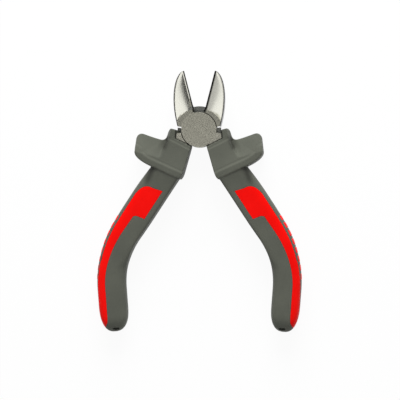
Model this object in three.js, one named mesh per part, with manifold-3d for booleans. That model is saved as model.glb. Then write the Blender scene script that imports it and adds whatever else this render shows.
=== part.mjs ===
// Side cutters: two forged halves on a riveted lap joint, each with a two-component moulded grip.
// Millimetres, +Z up. The tool lies flat, jaws towards +Y, open and ready to cut.
// The origin is on the pivot axis, in the plane of the front joint face.
// Each half is modelled closed, jaw on the -X side and handle on the +X side, and then swung open.
// The rear half is the same forging turned over about Y, so its jaw is on +X and its handle on -X.
import * as THREE from "three";
import { mergeVertices } from "three/addons/utils/BufferGeometryUtils.js";
import Module from "manifold-3d";

const wasm = await Module();
wasm.setup();

// Pose
const OPEN_HALF_ANGLE = 14.4; // degrees that each half is swung away from closed

// Joint
const JOINT_THICKNESS = 8;
const DISC_RADIUS = 7.35;
const LAP_GAP = 0.12; // between the two halves' lap faces
const RIM_GAP = 0.3; // round each disc, to the other half's jaw and neck
const SHOULDER_ANGLE = 24; // from the joint's cross line to the jaw's and the neck's shoulders, closed
const OPEN_RESERVE = 3.2; // degrees from the open pose to the opening stops
const STOP_REACH = 1.85; // stop on the neck, past the disc
const STOP_THICKNESS = 2;
const WEB_REACH = 2.65; // rear half's web across the throat, past the disc
const WEB_LAP = 2.2; // degrees that the web still reaches into the front jaw's slot, open
const WEB_ROOT = 5; // degrees that the web runs into its own jaw
const WEB_CLEARANCE = 3; // degrees left at the slot's end, closed
const WEB_THICKNESS = 2;
const RIVET_RADIUS = 2.6;
const RIVET_HEAD_RADIUS = 3.8;
const RIVET_HEAD_DEPTH = 1.2;
const RIVET_HEAD_LAND = 0.3;
const RIVET_CLEARANCE = 0.1;
const RIVET_END_WALL = 1.4; // steel left between the rivet's blind end and the front joint face

// Jaw
const JAW_REACH = 25.9; // pivot to tip
const JAW_ROOT = 2; // how far past the pivot the jaw's sections begin, inside the disc
const JAW_SHOULDER = 1.05; // jaw's back past the disc, where the jaw is widest
const JAW_WIDEST = 4.5; // how far past the pivot that is
const JAW_FULLNESS = 1.87; // exponent of the back's curve: 2 is an ellipse
const JAW_BACK_ROOT = 7.4; // thickness at the back, near the joint
const JAW_BACK_TIP = 3;
const JAW_BACK_ROUND = 0.7;
const JAW_TIP_FLAT = 0.12; // length ground off the point
const EDGE_CLEARANCE = 0.05; // cutting edge to the middle line, closed
const EDGE_LAND = 0.1;
const EDGE_BEVEL_WIDTH = 0.85;
const EDGE_BEVEL_THICKNESS = 1.6; // behind the cutting bevel
const GRIND_SHOULDER = 2.3; // unground ring between the disc and the ground faces
const GRIND_RUNOUT = 1.6; // length over which the unground root slopes from full thickness to the middle
const GRIND_HOLLOW = 1.35; // exponent of the ground face: 1 is flat

// Neck and tang
const NECK_SHOULDER = 2.5; // neck past the disc, at its shoulder
const NECK_WAIST = 1.35; // neck past the disc, where the collar takes hold
const NECK_DEPTH = 11.5; // from the pivot to the end of the full-thickness neck
const NECK_TURN = 1; // above that end, where the neck's inner side turns towards the tang
const TANG_LENGTH = 56;
const TANG_WIDTH_TOP = 6;
const TANG_WIDTH_END = 4.4;
const FIT_GAP = 0.25; // between a grip and what sits in it

// Grip: its spine is a straight run, a bend back inwards and a second straight run
const SPINE_START_X = 5.4;
const SPINE_START_Y = -8;
const SPINE_SPLAY = 18.8; // degrees from the closed tool's middle line
const SPINE_UPPER_RUN = 42.3;
const SPINE_BEND_RADIUS = 39.8;
const SPINE_BEND_ANGLE = 37.5;
const SPINE_LOWER_RUN = 18.1;
const GRIP_TOP = 9; // along the spine, inside the collar
const GRIP_WIDTH_TOP = 13.2;
const GRIP_WIDTH_WAIST = 12;
const GRIP_WAIST_START = 33; // along the spine, where the grip begins to narrow
const GRIP_WAIST_END = 57;
const GRIP_SHOULDER = 0.5; // how much the outer side draws in under the guard
const GRIP_SHOULDER_START = 13; // along the spine
const GRIP_SHOULDER_END = 27;
const GRIP_THICKNESS = 11;
const GRIP_WALL = 2.65; // over each face of the tang
const GRIP_SQUARENESS = 4.2; // exponent of the section: 2 is an ellipse
const END_ROUND_OUTER = 12; // length over which the grip's end closes in
const END_ROUND_INNER = 7;
const END_ROUND_FACE = 7;
const END_SQUARENESS = 2.45; // exponent of the end's outline: 2 is an ellipse
const END_FLAT = 0.02; // length left off the rounded end
const END_SLOT_WIDTH = 2.7;
const END_SLOT_HEIGHT = 0.9;
const END_SLOT_INSET = 1.5; // from the grip's end
const END_SLOT_OFFSET = 0.75; // from the spine towards the other handle
const END_SLOT_FLOOR = 4; // thickness left between the slots of the two faces

// Collar and finger guard
const COLLAR_INNER = 1.25; // from the middle line, closed
const COLLAR_WALL = 1.5; // beside the neck
const COLLAR_FACE_WALL = 1.15; // over each face of the neck, at the lip
const COLLAR_FLARE = 1.3; // how much further the guard stands up than the lip, on each face
const COLLAR_LIP_GAP = 0.3; // collar's lip to the joint disc
const COLLAR_LIP_TILT = 15.4; // degrees
const COLLAR_ROUND = 0.9;
const EAR_TOP = -2.4;
const EAR_WIDTH = 2.95;
const EAR_ROUND = 2.4;
const VALLEY_WIDTH = 2.3; // between the ear and the wing
const VALLEY_Y = -7.9;
const WING_REACH = 24.8;
const WING_TOP = -7.2;
const WING_LOW = -18.6;
const WING_ROUND_TOP = 3;
const WING_ROUND_LOW = 4;
const WING_SLANT = 0.7; // how much further the wing reaches at its top than at its bottom
const WING_STEP_X = 12; // where the wing's faces step down from the collar's
const WING_HOLLOW_Y = -15.5; // where the wing's faces begin to slope down
const WING_HOLLOW = 2.9; // depth of that slope at the valley
const GUARD_OUTER_X = 15.9;
const GUARD_OUTER_Y = -20;
const GUARD_INNER_X = 2.7;
const GUARD_INNER_Y = -22.3;
const GUARD_DEPTH = 3.4; // corner where the collar's inner side turns into the guard's lower edge

// Red inlay: one strip on each face, joined round the outer side at the end
const INLAY_DEPTH = 1.2;
const PATCH_TOP = 20.5; // along the spine
const PATCH_LENGTH = 13.9;
const PATCH_INNER = 4; // from the spine towards the other handle
const PATCH_LEAN = 1.2; // how much lower the top edge is at its outer end
const PATCH_SLANT = 0.8; // how much lower the bottom edge is at the notch
const PATCH_ROUND = 9;
const NOTCH_CHAMFER = 0.9; // corner between the patch and the strip
const STRIP_INNER = 0.6; // from the spine, just below the patch
const STRIP_LEAD = 4; // below the patch, where the strip begins to follow the outer side
const STRIP_WIDTH_LOW = 3.6;
const STRIP_LOW_INSET = 19.45; // from the grip's end, where the strip has narrowed to that width
const STRIP_END_INSET = 2.05; // from the grip's end
const STRIP_TIP_LENGTH = 2.6; // length over which the strip's inner edge turns out to its tip
const STRIP_TIP_RISE = 1.3; // how far it turns out

// Grey panel on the outer side, between the two faces' strips: it tapers to its end like a leaf
const PANEL_HEIGHT = 10;
const PANEL_TAPER = 35; // length that it tapers over
const PANEL_END_INSET = 6.45; // from the grip's end

// Red ribs across the panel
const RIB_COUNT = 8;
const RIB_TOP = 40.4; // first rib, along the spine
const RIB_PITCH = 3.3;
const RIB_LENGTH = 2.3;
const RIB_MARGIN = 0.85; // panel left over each end of a rib
const RIB_DEPTH = 1.8;
const RIB_PROUD = 0.1;

// Joins and cuts
const CUT_MARGIN = 2; // cutters run this far past what they cut
const JOIN_DEPTH = 1; // neck, stop and web run this far into the disc
const JOIN_ANGLE = 2; // degrees that the stop runs into the neck
const SECTION_LEAST = 0.02; // half size that a closing section keeps
const MERGE_TOLERANCE = 1e-4;

// Facets
const ROUND_SIDES = 48;
const SECTION_SIDES = 24;
const CORNER_STEPS = 6;

const { clamp, degToRad, lerp, smoothstep } = THREE.MathUtils;

// Worked out from the sizes above
const HALF_JOINT = JOINT_THICKNESS / 2;
const HALF_LAP = LAP_GAP / 2;
const LAP_RADIUS = DISC_RADIUS + RIM_GAP;
const JOIN_RADIUS = DISC_RADIUS - JOIN_DEPTH;
const STOP_RADIUS = DISC_RADIUS + STOP_REACH;
const STOP_ANGLE = 2 * OPEN_HALF_ANGLE + OPEN_RESERVE - SHOULDER_ANGLE;
const WEB_RADIUS = DISC_RADIUS + WEB_REACH;
const WEB_ANGLE = 2 * OPEN_HALF_ANGLE + WEB_LAP;
const JAW_WIDTH = DISC_RADIUS + JAW_SHOULDER;
const GRIND_RADIUS = DISC_RADIUS + GRIND_SHOULDER;
const NECK_OUTER = DISC_RADIUS + NECK_WAIST;
const TANG_THICKNESS = GRIP_THICKNESS - 2 * (GRIP_WALL + FIT_GAP);
const LIP_THICKNESS = JOINT_THICKNESS + 2 * (FIT_GAP + COLLAR_FACE_WALL);
const GUARD_THICKNESS = LIP_THICKNESS + 2 * COLLAR_FLARE;
const EAR_INNER = STOP_RADIUS + FIT_GAP;
const EAR_OUTER = EAR_INNER + EAR_WIDTH;
const VALLEY_X = EAR_OUTER + VALLEY_WIDTH;
const BEND_LENGTH = SPINE_BEND_RADIUS * degToRad(SPINE_BEND_ANGLE);
const SPINE_LENGTH = SPINE_UPPER_RUN + BEND_LENGTH + SPINE_LOWER_RUN;
const PATCH_BOTTOM = PATCH_TOP + PATCH_LENGTH;
const STRIP_END = SPINE_LENGTH - STRIP_END_INSET;
const STRIP_LOW = SPINE_LENGTH - STRIP_LOW_INSET;
const PANEL_END = SPINE_LENGTH - PANEL_END_INSET;

const steel = new THREE.MeshStandardMaterial({ color: 0x8a8a80, roughness: 0.42, metalness: 0.9 });
const rivetSteel = new THREE.MeshStandardMaterial({ color: 0x9a9a92, roughness: 0.35, metalness: 0.9 });
const greyPlastic = new THREE.MeshStandardMaterial({ color: 0x585952, roughness: 0.62, metalness: 0 });
const redPlastic = new THREE.MeshStandardMaterial({ color: 0xe6140d, roughness: 0.5, metalness: 0 });

// A closed geometry as a solid that can be joined and cut
function solid(geometry) {
  geometry.deleteAttribute("normal");
  geometry.deleteAttribute("uv");
  const merged = mergeVertices(geometry, MERGE_TOLERANCE);
  return new wasm.Manifold(
    new wasm.Mesh({
      numProp: 3,
      vertProperties: merged.attributes.position.array,
      triVerts: Uint32Array.from(merged.index.array),
    }),
  );
}

function namedMesh(name, body, material) {
  const { vertProperties, triVerts } = body.getMesh();
  const geometry = new THREE.BufferGeometry();
  geometry.setAttribute("position", new THREE.BufferAttribute(vertProperties, 3));
  geometry.setIndex(new THREE.BufferAttribute(triVerts, 1));
  geometry.computeVertexNormals();
  const mesh = new THREE.Mesh(geometry, material);
  mesh.name = name;
  return mesh;
}

function polar(radius, degrees) {
  return new THREE.Vector2(radius * Math.cos(degToRad(degrees)), radius * Math.sin(degToRad(degrees)));
}

// A flat outline between two heights, its edges rounded by `round`
function plate(outline, low, high, round = 0) {
  const shape = outline instanceof THREE.Shape ? outline : new THREE.Shape(outline);
  const geometry = new THREE.ExtrudeGeometry(shape, {
    depth: high - low - 2 * round,
    bevelEnabled: round > 0,
    bevelThickness: round,
    bevelSize: round,
    bevelOffset: -round,
    bevelSegments: 2,
    curveSegments: CORNER_STEPS,
  });
  return geometry.translate(0, 0, low + round);
}

function disc(radius, low, high) {
  const geometry = new THREE.CylinderGeometry(radius, radius, high - low, ROUND_SIDES);
  return solid(geometry.rotateX(Math.PI / 2).translate(0, 0, (low + high) / 2));
}

// A ring segment round the pivot, from one angle to another
function sector(innerRadius, outerRadius, from, to, low, high) {
  const shape = new THREE.Shape();
  shape.absarc(0, 0, outerRadius, degToRad(from), degToRad(to), false);
  shape.absarc(0, 0, innerRadius, degToRad(to), degToRad(from), true);
  return solid(plate(shape, low, high));
}

// Rings of points, each counter-clockwise about the direction of travel, joined into a closed skin
function loft(rings) {
  const sides = rings[0].length;
  const last = (rings.length - 1) * sides;
  const indices = [];
  for (let start = 0; start < last; start += sides) {
    for (let side = 0; side < sides; side++) {
      const here = start + side;
      const next = start + ((side + 1) % sides);
      indices.push(here, next, here + sides, next, next + sides, here + sides);
    }
  }
  for (let side = 1; side + 1 < sides; side++) {
    indices.push(0, side + 1, side, last, last + side, last + side + 1);
  }
  const geometry = new THREE.BufferGeometry().setFromPoints(rings.flat());
  geometry.setIndex(indices);
  return solid(geometry);
}

// The outline moved outwards by a distance, corner by corner
function grown(outline, distance) {
  return outline.map((corner, index) => {
    const before = outline[(index + outline.length - 1) % outline.length];
    const after = outline[(index + 1) % outline.length];
    const into = corner.clone().sub(before).normalize();
    const away = after.clone().sub(corner).normalize();
    const normalIn = new THREE.Vector2(into.y, -into.x);
    const normalOut = new THREE.Vector2(away.y, -away.x);
    const bisector = normalIn.clone().add(normalOut).normalize();
    return corner.clone().addScaledVector(bisector, distance / bisector.dot(normalIn));
  });
}

// Spine of the grip: place, outward direction and angle at a distance along it
function spineAt(along) {
  const turned = clamp((along - SPINE_UPPER_RUN) / SPINE_BEND_RADIUS, 0, degToRad(SPINE_BEND_ANGLE));
  const angle = degToRad(SPINE_SPLAY) - turned;
  const outward = new THREE.Vector2(Math.cos(angle), Math.sin(angle));
  const forward = new THREE.Vector2(Math.sin(angle), -Math.cos(angle));
  const splay = degToRad(SPINE_SPLAY);
  const upper = new THREE.Vector2(Math.sin(splay), -Math.cos(splay));
  const upperOutward = new THREE.Vector2(Math.cos(splay), Math.sin(splay));
  const place = new THREE.Vector2(SPINE_START_X, SPINE_START_Y);
  place.addScaledVector(upper, Math.min(along, SPINE_UPPER_RUN));
  place.addScaledVector(upperOutward, -SPINE_BEND_RADIUS);
  place.addScaledVector(outward, SPINE_BEND_RADIUS);
  place.addScaledVector(forward, Math.max(0, along - SPINE_UPPER_RUN - BEND_LENGTH));
  return { place, outward, angle };
}

// A plan point given by its distance along the spine and out from it
function besideSpine(along, out) {
  const { place, outward } = spineAt(along);
  return place.addScaledVector(outward, out);
}

function endRound(along, length) {
  const into = clamp((along - (SPINE_LENGTH - length)) / length, 0, 1);
  return (1 - into ** END_SQUARENESS) ** (1 / END_SQUARENESS);
}

function gripHalfWidth(along) {
  return lerp(GRIP_WIDTH_TOP, GRIP_WIDTH_WAIST, smoothstep(along, GRIP_WAIST_START, GRIP_WAIST_END)) / 2;
}

function gripOuter(along) {
  const shoulder = GRIP_SHOULDER * (1 - smoothstep(along, GRIP_SHOULDER_START, GRIP_SHOULDER_END));
  return (gripHalfWidth(along) - shoulder) * endRound(along, END_ROUND_OUTER);
}

function gripInner(along) {
  return gripHalfWidth(along) * endRound(along, END_ROUND_INNER);
}

// One section of the grip's handle, drawn in by `inset` all round
function gripRing(along, inset) {
  const { place, outward } = spineAt(along);
  const outer = Math.max(gripOuter(along) - inset, SECTION_LEAST);
  const inner = Math.max(gripInner(along) - inset, SECTION_LEAST);
  const face = Math.max((GRIP_THICKNESS / 2) * endRound(along, END_ROUND_FACE) - inset, SECTION_LEAST);
  const ring = [];
  for (let side = 0; side < SECTION_SIDES; side++) {
    const turn = (2 * Math.PI * side) / SECTION_SIDES;
    const across = Math.sign(Math.cos(turn)) * Math.abs(Math.cos(turn)) ** (2 / GRIP_SQUARENESS);
    const up = Math.sign(Math.sin(turn)) * Math.abs(Math.sin(turn)) ** (2 / GRIP_SQUARENESS);
    const plan = place.clone().addScaledVector(outward, across * (across > 0 ? outer : inner));
    ring.push(new THREE.Vector3(plan.x, plan.y, up * face));
  }
  return ring;
}

// The handle of the grip, from inside the collar to its rounded end
function handleSolid(inset) {
  const steps = 20;
  const endSteps = 7;
  const roundStart = SPINE_LENGTH - END_ROUND_OUTER;
  const stations = [];
  for (let step = 0; step < steps; step++) {
    stations.push(lerp(GRIP_TOP, roundStart, step / steps));
  }
  for (let step = 0; step <= endSteps; step++) {
    const eased = Math.sin((step / endSteps) * (Math.PI / 2));
    stations.push(lerp(roundStart, SPINE_LENGTH - END_FLAT - inset, eased));
  }
  return loft(stations.map((along) => gripRing(along, inset)));
}

// Distance from the cutting edge to the jaw's back, at a distance past the pivot
function jawBack(past) {
  const share = Math.max(0, past - JAW_WIDEST) / (JAW_REACH - JAW_WIDEST);
  return JAW_WIDTH * (1 - share ** 2) ** (1 / JAW_FULLNESS);
}

// Height of the jaw's face over its middle plane
function jawHeight(fromEdge, past) {
  const back = jawBack(past);
  const share = clamp((past - GRIND_RADIUS) / (JAW_REACH - GRIND_RADIUS), 0, 1);
  const backHeight = lerp(JAW_BACK_ROOT, JAW_BACK_TIP, share) / 2;
  const bevelWidth = Math.min(EDGE_BEVEL_WIDTH, back / 2);
  const bevelHeight = Math.min(EDGE_BEVEL_THICKNESS, JAW_BACK_TIP) / 2;
  const behind = clamp((fromEdge - bevelWidth) / (back - bevelWidth), 0, 1);
  const onBevel = clamp(fromEdge / bevelWidth, 0, 1);
  const bevel = lerp(EDGE_LAND / 2, bevelHeight, onBevel);
  const ground = bevel + (backHeight - bevelHeight) * behind ** GRIND_HOLLOW;
  const runout = clamp((Math.hypot(fromEdge, past) - GRIND_RADIUS) / GRIND_RUNOUT, 0, 1);
  return Math.max(ground, HALF_JOINT * (1 - runout));
}

// One section across the jaw: over the top from back to edge, and under it again
function jawRing(past) {
  const back = jawBack(past);
  const bevelWidth = Math.min(EDGE_BEVEL_WIDTH, back / 2);
  const round = Math.min(JAW_BACK_ROUND, back / 4);
  const bulge = round * (1 - Math.SQRT1_2);
  const shoulder = jawHeight(back - round, past);
  const upper = [
    [back, shoulder - round],
    [back - bulge, shoulder - bulge],
    [back - round, shoulder],
  ];
  for (const share of [0.75, 0.5, 0.25, 0]) {
    const fromEdge = lerp(bevelWidth, back - round, share);
    upper.push([fromEdge, jawHeight(fromEdge, past)]);
  }
  upper.push([EDGE_CLEARANCE, jawHeight(EDGE_CLEARANCE, past)]);
  const top = upper.map(([fromEdge, height]) => new THREE.Vector3(-fromEdge, past, height));
  const bottom = upper.map(([fromEdge, height]) => new THREE.Vector3(-fromEdge, past, -height));
  return [...top, ...bottom.reverse()];
}

// The jaw with its shoulder, before the lap is cut
function jawSolid() {
  const rings = [];
  const steps = 18;
  for (let step = 0; step <= steps; step++) {
    const eased = Math.sin((step / steps) * (Math.PI / 2));
    rings.push(jawRing(lerp(JAW_ROOT, JAW_REACH - JAW_TIP_FLAT, eased)));
  }
  const below = new THREE.BoxGeometry(2 * JAW_REACH, JAW_REACH, 2 * JOINT_THICKNESS);
  below.translate(0, -JAW_REACH / 2, 0).rotateZ(degToRad(-SHOULDER_ANGLE));
  return loft(rings).subtract(solid(below));
}

function neckOutline() {
  const inner = COLLAR_INNER + COLLAR_WALL;
  const end = spineAt(NECK_DEPTH + SPINE_START_Y);
  const outerEnd = end.place.clone().addScaledVector(end.outward, TANG_WIDTH_TOP / 2);
  const innerEnd = end.place.clone().addScaledVector(end.outward, -TANG_WIDTH_TOP / 2);
  return [
    polar(JOIN_RADIUS, -SHOULDER_ANGLE),
    new THREE.Vector2(inner, -Math.sqrt(JOIN_RADIUS ** 2 - inner ** 2)),
    new THREE.Vector2(inner, innerEnd.y + NECK_TURN),
    innerEnd,
    outerEnd,
    new THREE.Vector2(NECK_OUTER, lipY(NECK_OUTER)),
    polar(DISC_RADIUS + NECK_SHOULDER, -SHOULDER_ANGLE),
  ];
}

// Height of the collar's lip line at a distance from the middle line
function lipY(across) {
  const tilt = degToRad(COLLAR_LIP_TILT);
  return (across * Math.sin(tilt) - DISC_RADIUS - COLLAR_LIP_GAP) / Math.cos(tilt);
}

function tangOutline(extra) {
  const steps = 8;
  const outer = [];
  const inner = [];
  for (let step = 0; step <= steps; step++) {
    const along = (step / steps) * (TANG_LENGTH + extra);
    const half = lerp(TANG_WIDTH_TOP, TANG_WIDTH_END, step / steps) / 2 + extra;
    outer.push(besideSpine(along, half));
    inner.push(besideSpine(along, -half));
  }
  return [...inner, ...outer.reverse()];
}

// The rivet, or with a clearance the bore that it sits in
function rivetSolid(clearance, overshoot) {
  const face = -HALF_JOINT;
  const head = RIVET_HEAD_RADIUS + clearance;
  const shank = RIVET_RADIUS + clearance;
  const end = HALF_JOINT - RIVET_END_WALL + clearance;
  const profile = [
    new THREE.Vector2(0, face - overshoot),
    new THREE.Vector2(head, face - overshoot),
    new THREE.Vector2(head, face + RIVET_HEAD_LAND),
    new THREE.Vector2(shank, face + RIVET_HEAD_LAND + RIVET_HEAD_DEPTH),
    new THREE.Vector2(shank, end),
    new THREE.Vector2(0, end),
  ];
  return solid(new THREE.LatheGeometry(profile, ROUND_SIDES).rotateX(Math.PI / 2));
}

// One forged half, closed: jaw, disc on the +Z side of the lap, neck and tang
function forgedHalf() {
  const neck = solid(plate(neckOutline(), -HALF_JOINT, HALF_JOINT));
  const lapCut = disc(LAP_RADIUS, -HALF_JOINT - CUT_MARGIN, HALF_LAP);
  const tang = solid(plate(tangOutline(0), -TANG_THICKNESS / 2, TANG_THICKNESS / 2));
  const stop = sector(
    JOIN_RADIUS, STOP_RADIUS, -SHOULDER_ANGLE - JOIN_ANGLE, -STOP_ANGLE, HALF_LAP, HALF_LAP + STOP_THICKNESS,
  );
  return jawSolid()
    .add(neck)
    .add(tang)
    .subtract(lapCut)
    .add(disc(DISC_RADIUS, HALF_LAP, HALF_JOINT))
    .add(stop);
}

function frontForging() {
  const slotLow = -HALF_LAP - WEB_THICKNESS - RIM_GAP;
  const webSlot = sector(
    JOIN_RADIUS, WEB_RADIUS + RIM_GAP, 90, 90 + WEB_ANGLE + WEB_CLEARANCE, slotLow, HALF_LAP,
  );
  return forgedHalf().subtract(webSlot).subtract(rivetSolid(RIVET_CLEARANCE, CUT_MARGIN));
}

function rearForging() {
  const web = sector(
    JOIN_RADIUS, WEB_RADIUS, 90 - WEB_ANGLE, 90 + WEB_ROOT, HALF_LAP, HALF_LAP + WEB_THICKNESS,
  );
  const bore = rivetSolid(RIVET_CLEARANCE, CUT_MARGIN).rotate([0, 180, 0]);
  return forgedHalf().add(web).subtract(bore);
}

// Collar round the neck, with the ear beside the neck and the wing that guards the fingers
function collarShape() {
  const shape = new THREE.Shape();
  shape.moveTo(COLLAR_INNER, lipY(COLLAR_INNER));
  shape.lineTo(COLLAR_INNER, GUARD_INNER_Y + GUARD_DEPTH);
  shape.lineTo(GUARD_INNER_X, GUARD_INNER_Y);
  shape.lineTo(GUARD_OUTER_X, GUARD_OUTER_Y);
  shape.quadraticCurveTo(WING_REACH, WING_LOW, WING_REACH - WING_SLANT, WING_LOW + WING_ROUND_LOW);
  shape.lineTo(WING_REACH, WING_TOP - WING_ROUND_TOP);
  shape.quadraticCurveTo(WING_REACH, WING_TOP, WING_REACH - WING_ROUND_TOP, WING_TOP);
  shape.quadraticCurveTo((WING_REACH + VALLEY_X) / 2 - EAR_ROUND, VALLEY_Y, VALLEY_X, VALLEY_Y);
  shape.quadraticCurveTo(EAR_OUTER, VALLEY_Y, EAR_OUTER, EAR_TOP - EAR_ROUND);
  shape.quadraticCurveTo(EAR_OUTER, EAR_TOP, EAR_OUTER - EAR_ROUND / 2, EAR_TOP);
  shape.lineTo(EAR_INNER, EAR_TOP);
  shape.lineTo(NECK_OUTER, lipY(NECK_OUTER));
  return shape;
}

// Half the collar's thickness, which falls from the guard to the ear's top
function collarHeight(y) {
  return lerp(GUARD_THICKNESS, LIP_THICKNESS, (y - GUARD_INNER_Y) / (EAR_TOP - GUARD_INNER_Y)) / 2;
}

// Wedge over the wing's faces, which slope down from the guard to the wing's top
function wingHollow() {
  const top = WING_TOP + CUT_MARGIN;
  const fall = (WING_HOLLOW * (top - WING_HOLLOW_Y)) / (VALLEY_Y - WING_HOLLOW_Y);
  const wedge = [
    new THREE.Vector2(WING_HOLLOW_Y, collarHeight(WING_HOLLOW_Y)),
    new THREE.Vector2(top, collarHeight(top) - fall),
    new THREE.Vector2(top, GUARD_THICKNESS),
    new THREE.Vector2(WING_HOLLOW_Y, GUARD_THICKNESS),
  ];
  const prism = plate(wedge, WING_STEP_X, WING_REACH + CUT_MARGIN);
  const over = solid(prism.rotateX(Math.PI / 2).rotateZ(Math.PI / 2));
  return over.add(over.mirror([0, 0, 1]));
}

function collarSolid() {
  const geometry = plate(
    collarShape(), -GUARD_THICKNESS / 2, GUARD_THICKNESS / 2, COLLAR_ROUND,
  );
  const points = geometry.attributes.position;
  for (let index = 0; index < points.count; index++) {
    const share = collarHeight(points.getY(index)) / (GUARD_THICKNESS / 2);
    points.setZ(index, points.getZ(index) * share);
  }
  return solid(geometry).subtract(wingHollow());
}

// Inner edge of the strip, out from the spine, below the patch
function stripInner(along) {
  const top = gripHalfWidth(PATCH_BOTTOM) - STRIP_INNER;
  const narrowing = smoothstep(along, PATCH_BOTTOM, STRIP_LOW);
  const closing = STRIP_TIP_RISE * smoothstep(along, STRIP_END - STRIP_TIP_LENGTH, STRIP_END);
  return gripHalfWidth(along) - lerp(top, STRIP_WIDTH_LOW, narrowing) + closing;
}

function panelHalfHeight(along) {
  const into = clamp((along - PANEL_END) / PANEL_TAPER + 1, 0, 1);
  return (PANEL_HEIGHT / 2) * Math.sqrt(1 - into ** 2);
}

// How far out from the spine the panel's edge shows on the handle's face
function panelEdge(along) {
  const share = panelHalfHeight(along) / (GRIP_THICKNESS / 2);
  return gripHalfWidth(along) * (1 - share ** GRIP_SQUARENESS) ** (1 / GRIP_SQUARENESS);
}

// Plan outline of the inlay, grown by `extra`: outside the outer side, and back up the inner one
function inlayOutline(extra) {
  const topOuter = PATCH_TOP + PATCH_ROUND - extra;
  const steps = 32;
  const outer = [];
  const inner = [];
  for (let step = 0; step <= steps; step++) {
    outer.push(besideSpine(lerp(topOuter, STRIP_END + extra, step / steps), GRIP_WIDTH_TOP));
  }
  for (let step = 0; step <= steps; step++) {
    const along = lerp(STRIP_END + extra, PATCH_BOTTOM + STRIP_LEAD, step / steps);
    inner.push(besideSpine(along, stripInner(along) - extra));
  }
  const notch = [
    besideSpine(PATCH_BOTTOM + PATCH_SLANT + NOTCH_CHAMFER + extra, STRIP_INNER - extra),
    besideSpine(PATCH_BOTTOM + PATCH_SLANT + extra, STRIP_INNER - NOTCH_CHAMFER - extra),
    besideSpine(PATCH_BOTTOM + extra, -PATCH_INNER - extra),
  ];
  const top = [besideSpine(PATCH_TOP - extra, -PATCH_INNER - extra)];
  const topEdge = PATCH_TOP + PATCH_LEAN - extra;
  const from = new THREE.Vector2(topEdge, 0);
  const corner = new THREE.Vector2(topEdge, panelEdge(topOuter) + extra);
  const to = new THREE.Vector2(topOuter, corner.y);
  for (const point of new THREE.QuadraticBezierCurve(from, corner, to).getPoints(CORNER_STEPS)) {
    top.push(besideSpine(point.x, point.y));
  }
  return [...outer, ...inner, ...notch, ...top].reverse();
}

// The room that the grey side panel keeps between the two faces' strips
function panelSolid(extra) {
  const steps = 6;
  const taperSteps = 12;
  const taperStart = PANEL_END - PANEL_TAPER;
  const stations = [];
  for (let step = 0; step < steps; step++) {
    stations.push(lerp(PATCH_TOP, taperStart, step / steps));
  }
  for (let step = 0; step <= taperSteps; step++) {
    stations.push(lerp(taperStart, PANEL_END - extra, Math.sin((step / taperSteps) * (Math.PI / 2))));
  }
  const rings = stations.map((along) => {
    const half = Math.max(panelHalfHeight(along) - extra, SECTION_LEAST);
    const inner = besideSpine(along, 0);
    const outer = besideSpine(along, GRIP_WIDTH_TOP);
    return [
      new THREE.Vector3(inner.x, inner.y, -half),
      new THREE.Vector3(outer.x, outer.y, -half),
      new THREE.Vector3(outer.x, outer.y, half),
      new THREE.Vector3(inner.x, inner.y, half),
    ];
  });
  return loft(rings);
}

// Everything inside the inlay's outline that lies within `depth` of the handle's surface, or outside it
function inlayRegion(extra, depth) {
  const through = solid(plate(inlayOutline(extra), -GRIP_THICKNESS, GRIP_THICKNESS));
  return through.subtract(handleSolid(depth)).subtract(panelSolid(extra));
}

function inlaySolid() {
  return inlayRegion(0, INLAY_DEPTH).intersect(handleSolid(0));
}

// A block across the outer side at one rib's place, grown by `extra`
function ribBlock(index, extra) {
  const along = RIB_TOP + index * RIB_PITCH;
  const { place, outward, angle } = spineAt(along);
  const depth = RIB_DEPTH + RIB_PROUD + CUT_MARGIN + extra;
  const height = 2 * (panelHalfHeight(along) - RIB_MARGIN + extra);
  const block = new THREE.BoxGeometry(depth, RIB_LENGTH + 2 * extra, height);
  const centre = place.addScaledVector(outward, gripOuter(along) - RIB_DEPTH - extra + depth / 2);
  return solid(block.rotateZ(angle).translate(centre.x, centre.y, 0));
}

function ribSolid(index) {
  return ribBlock(index, 0).intersect(handleSolid(-RIB_PROUD));
}

function endSlot(face) {
  const along = SPINE_LENGTH - END_SLOT_INSET;
  const { place, angle } = spineAt(along);
  const slot = new THREE.BoxGeometry(END_SLOT_WIDTH, END_SLOT_HEIGHT, GRIP_THICKNESS);
  slot.translate(-END_SLOT_OFFSET, 0, face * (END_SLOT_FLOOR / 2 + GRIP_THICKNESS / 2));
  return solid(slot.rotateZ(angle).translate(place.x, place.y, 0));
}

// The grey moulding: handle, collar and guard, with its pockets
function gripBody() {
  const neckRoom = grown(neckOutline(), FIT_GAP);
  const neckHeight = HALF_JOINT + FIT_GAP;
  const tangHeight = TANG_THICKNESS / 2 + FIT_GAP;
  let body = handleSolid(0)
    .add(collarSolid())
    .subtract(solid(plate(neckRoom, -neckHeight, neckHeight)))
    .subtract(solid(plate(tangOutline(FIT_GAP), -tangHeight, tangHeight)))
    .subtract(inlayRegion(FIT_GAP, INLAY_DEPTH + FIT_GAP))
    .subtract(endSlot(1))
    .subtract(endSlot(-1));
  for (let index = 0; index < RIB_COUNT; index++) {
    body = body.subtract(ribBlock(index, FIT_GAP));
  }
  return body;
}

// One half's grip, named for the side that it is on in the finished tool
function addGrip(half, side) {
  half.add(namedMesh(`${side}_grip_body`, gripBody(), greyPlastic));
  half.add(namedMesh(`${side}_grip_inlay`, inlaySolid(), redPlastic));
  for (let index = 0; index < RIB_COUNT; index++) {
    half.add(namedMesh(`${side}_grip_rib_${index + 1}`, ribSolid(index), redPlastic));
  }
}

function frontHalf() {
  const half = new THREE.Group();
  half.add(namedMesh("front_half_forging", frontForging(), steel));
  half.add(namedMesh("pivot_rivet", rivetSolid(0, 0), rivetSteel));
  addGrip(half, "right");
  half.rotation.z = degToRad(OPEN_HALF_ANGLE);
  return half;
}

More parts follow.
